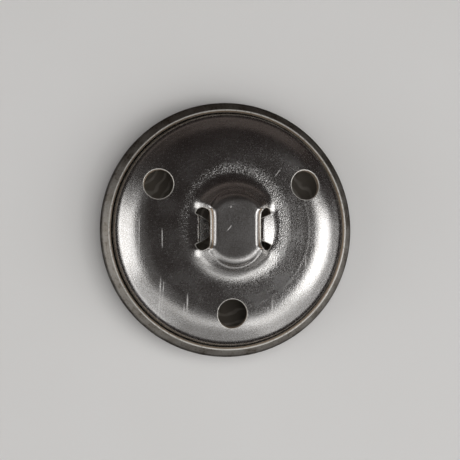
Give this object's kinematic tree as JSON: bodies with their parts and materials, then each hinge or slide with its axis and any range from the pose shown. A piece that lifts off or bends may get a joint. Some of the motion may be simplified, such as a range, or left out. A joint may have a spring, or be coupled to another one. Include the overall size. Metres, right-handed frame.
{
  "type": "shank button",
  "caption": "Round domed metal sewing button in two pressed shells, with a pierced boss on its back that leaves a strap for the thread.",
  "frame": {"origin": "centre of the flat spot on the front that the button lies on", "axes": "+Z from the front towards the shank, +Y along the strap, away from the vent hole that is in line with it, +X along the thread's way through the shank"},
  "size_m": [0.025, 0.025, 0.0075],
  "materials": {
    "front_metal": "satin nickel-coloured plate",
    "back_metal": "polished nickel-coloured plate with fine grain and scratches"
  },
  "bodies": {
    "root": {"front_shell": "front_metal", "back_shell": "back_metal"}
  },
  "joints": []
}
